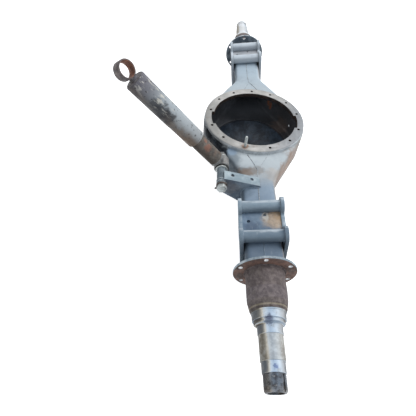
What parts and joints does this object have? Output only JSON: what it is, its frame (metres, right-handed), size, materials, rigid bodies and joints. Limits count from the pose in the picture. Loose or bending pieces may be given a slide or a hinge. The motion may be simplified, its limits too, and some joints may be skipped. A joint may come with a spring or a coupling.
{
  "type": "axle housing",
  "caption": "Banjo axle housing: pressed arms flare into a bowl with a bolted carrier opening and rear dome, with spindles, brake flanges, spring seats and a shock absorber.",
  "frame": {"origin": "centre of the carrier opening, on the machined face of the carrier ring", "axes": "+Z out of the carrier opening, +Y along the axle towards the far spindle, +X away from the shock absorber"},
  "size_m": [0.6493, 1.916, 0.6084],
  "materials": {
    "housing_paint": "worn satin paint",
    "machined_ring": "machined, dulled",
    "turned_forging": "turned lands on a rough forging",
    "rusty_flange": "rusted",
    "zinc_steel": "zinc plated",
    "rubber": "matte",
    "shock_paint": "dirty satin paint",
    "dark_forging": "dark, rusted",
    "bright_steel": "ground"
  },
  "bodies": {
    "housing": {"housing_half_left": "housing_paint", "housing_half_right": "housing_paint", "filler_near_front": "housing_paint", "filler_far_front": "housing_paint", "filler_near_rear": "housing_paint", "filler_far_rear": "housing_paint", "carrier_ring": "machined_ring", "carrier_stud": "zinc_steel", "rear_cover": "housing_paint", "spindle_near": "turned_forging", "spindle_far": "turned_forging", "brake_flange_near": "rusty_flange", "brake_flange_far": "rusty_flange", "seat_plate_near_left": "housing_paint", "seat_plate_near_right": "housing_paint", "seat_plate_far_left": "housing_paint", "seat_plate_far_right": "housing_paint", "sleeve_near_front_inner": "housing_paint", "sleeve_near_front_outer": "housing_paint", "sleeve_near_rear_inner": "housing_paint", "sleeve_near_rear_outer": "housing_paint", "sleeve_far_front_inner": "housing_paint", "sleeve_far_front_outer": "housing_paint", "sleeve_far_rear_inner": "housing_paint", "sleeve_far_rear_outer": "housing_paint", "seat_pad_near_front": "housing_paint", "seat_pad_near_rear": "housing_paint", "seat_pad_far_front": "housing_paint", "seat_pad_far_rear": "housing_paint", "shock_bracket": "housing_paint", "shock_boss": "dark_forging", "shock_bolt": "zinc_steel", "tab_washer": "dark_forging", "shock_nut": "zinc_steel", "bush_washer_outer": "zinc_steel", "bush_washer_inner": "zinc_steel", "bush_sleeve": "bright_steel"},
    "shock_lower": {"rubber_bush": "rubber", "lower_eye": "dark_forging", "base_cap": "dark_forging", "body_tube": "shock_paint", "base_valve": "bright_steel", "pressure_tube": "bright_steel", "rod_guide": "bright_steel", "rod_seal": "rubber"},
    "shock_piston": {"piston": "bright_steel"},
    "shock_upper": {"piston_rod": "bright_steel", "piston_nut": "bright_steel", "dust_tube": "shock_paint", "top_cap": "shock_paint", "upper_eye": "dark_forging"}
  },
  "joints": [
    {"name": "shock_pivot", "type": "hinge", "parent": "housing", "child": "shock_lower", "pos_m": [-0.13295, -0.26404, -0.00438], "axis": [0, 1, 0], "range_deg": [-30, 30]},
    {"name": "shock_stroke", "type": "slide", "parent": "shock_lower", "child": "shock_piston", "axis": [-0.6534, 0, 0.757], "range_m": [-0.09, 0.06]},
    {"name": "shock_twist", "type": "hinge", "parent": "shock_piston", "child": "shock_upper", "pos_m": [-0.13295, -0.26404, -0.00438], "axis": [-0.6534, 0, 0.757], "continuous": true}
  ]
}
